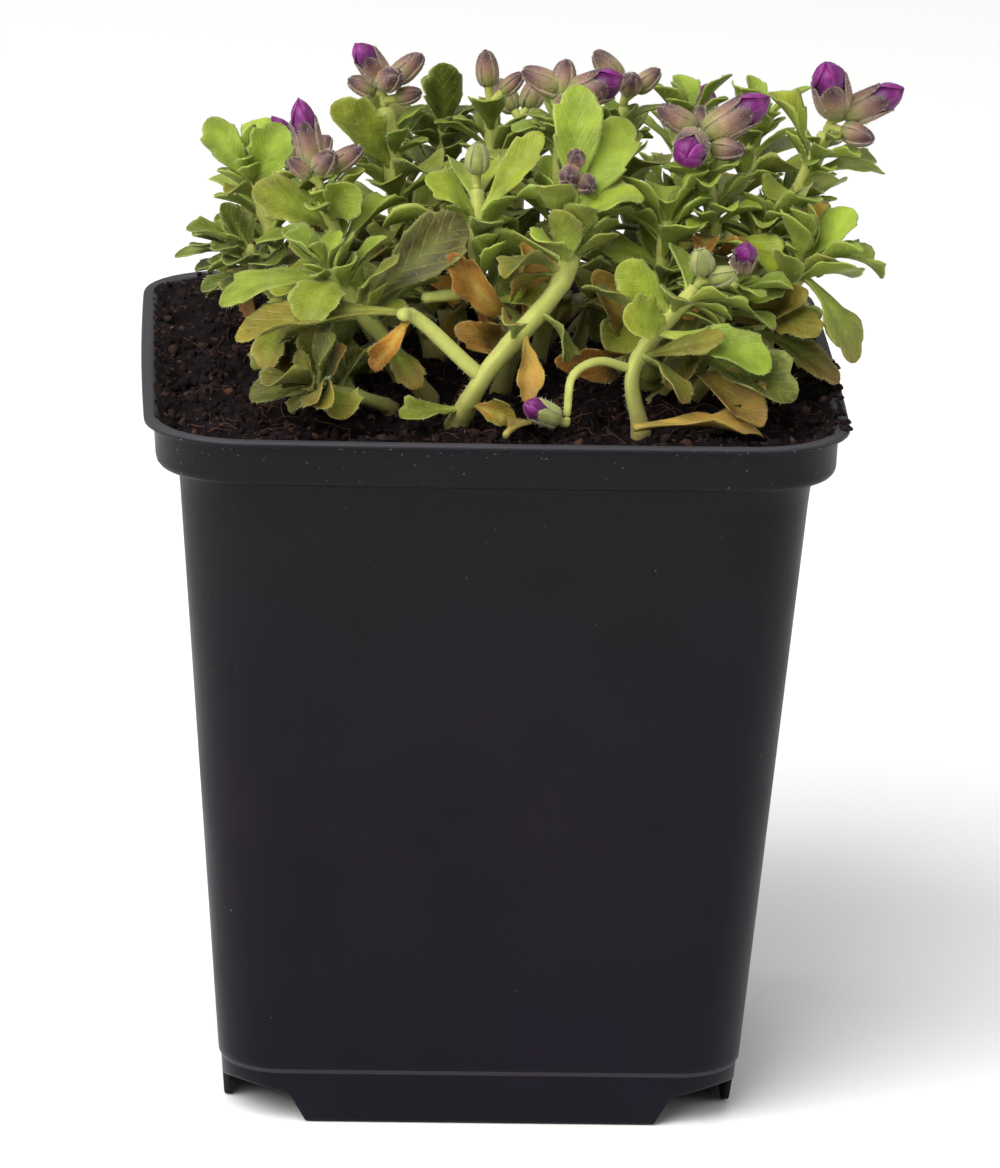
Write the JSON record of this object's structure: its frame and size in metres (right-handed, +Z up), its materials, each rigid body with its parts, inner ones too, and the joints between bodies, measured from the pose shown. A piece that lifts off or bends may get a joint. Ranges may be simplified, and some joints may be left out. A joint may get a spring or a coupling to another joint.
{
  "type": "potted aubrieta",
  "caption": "Low bushy aubrieta with downy toothed leaves and purple-tipped buds, growing in a square tapered nursery pot filled with dark compost.",
  "frame": {"origin": "centre of the plant's and pot's box at the height of the surface that the pot's feet stand on", "axes": "+Z up, -Y towards the pictured face of the pot, +X to the right of that view"},
  "size_m": [0.0984, 0.09, 0.1353],
  "materials": {
    "pot": "thin injection-moulded polypropylene, satin charcoal with a soft sheen",
    "compost": "damp crumbly peat compost with brown fibres, matt",
    "leaf_fresh": "thick downy young foliage, light green with pale margins, matt",
    "leaf_mid": "downy foliage, yellow green, matt",
    "leaf_dark": "downy older foliage, dark green, matt",
    "leaf_old": "ageing foliage, olive to orange brown, matt",
    "leaf_dry": "dead curled leaf, papery, orange tan",
    "sepal_brown": "downy sepals, taupe pink with a green base, matt",
    "sepal_dry": "withered sepals, beige, papery",
    "sepal_green": "woolly young sepals, pale green, matt",
    "petal": "furled petals, deep purple with a soft satin sheen"
  },
  "bodies": {
    "root": {"pot": "pot", "compost": "compost", "shoot_front_centre": "leaf_fresh", "shoot_centre_woolly": "leaf_fresh", "shoot_front_right": "leaf_fresh", "shoot_left_high": "leaf_fresh", "shoot_left_bud": "leaf_fresh", "shoot_left_front": "leaf_fresh", "shoot_left_low": "leaf_dark", "shoot_left_back": "leaf_dark", "shoot_top_left": "leaf_mid", "shoot_behind_left": "leaf_dark", "shoot_top_centre": "leaf_mid", "shoot_top_buds": "leaf_mid", "shoot_top_dry": "leaf_mid", "shoot_right_centre": "leaf_fresh", "shoot_right_bud": "leaf_fresh", "shoot_behind_right": "leaf_mid", "shoot_back_right_high": "leaf_mid", "shoot_right_high": "leaf_fresh", "shoot_right_mid": "leaf_fresh", "shoot_right_low": "leaf_fresh", "shoot_right_small": "leaf_mid", "shoot_low_front_left": "leaf_old", "shoot_back_left": "leaf_mid", "shoot_back_centre": "leaf_mid", "shoot_back_right": "leaf_mid", "shoot_back_right_low": "leaf_fresh", "shoot_back_left_low": "leaf_old", "shoot_back_mid_left": "leaf_dark", "buds_left": "sepal_brown", "buds_top_left": "sepal_brown", "buds_top_centre": "sepal_brown", "buds_top": "sepal_brown", "buds_top_dry": "sepal_dry", "buds_centre_round": "sepal_brown", "bud_woolly": "sepal_green", "buds_right": "sepal_brown", "buds_far_right": "sepal_brown", "buds_front_right": "sepal_green", "bud_right_small": "sepal_brown", "bud_hanging": "sepal_green", "buds_back_left": "sepal_brown", "buds_back": "sepal_brown", "buds_back_right": "sepal_brown", "buds_left_petals_1": "petal", "buds_top_left_petals_1": "petal", "buds_top_petals_3": "petal", "buds_right_petals_2": "petal", "buds_right_petals_3": "petal", "buds_far_right_petals_1": "petal", "buds_far_right_petals_3": "petal", "bud_right_small_petals_1": "petal", "bud_hanging_petals_1": "petal", "buds_back_left_petals_1": "petal", "buds_back_right_petals_1": "petal", "fallen_leaf_front": "leaf_dry", "fallen_leaf_right": "leaf_dry"}
  },
  "joints": []
}
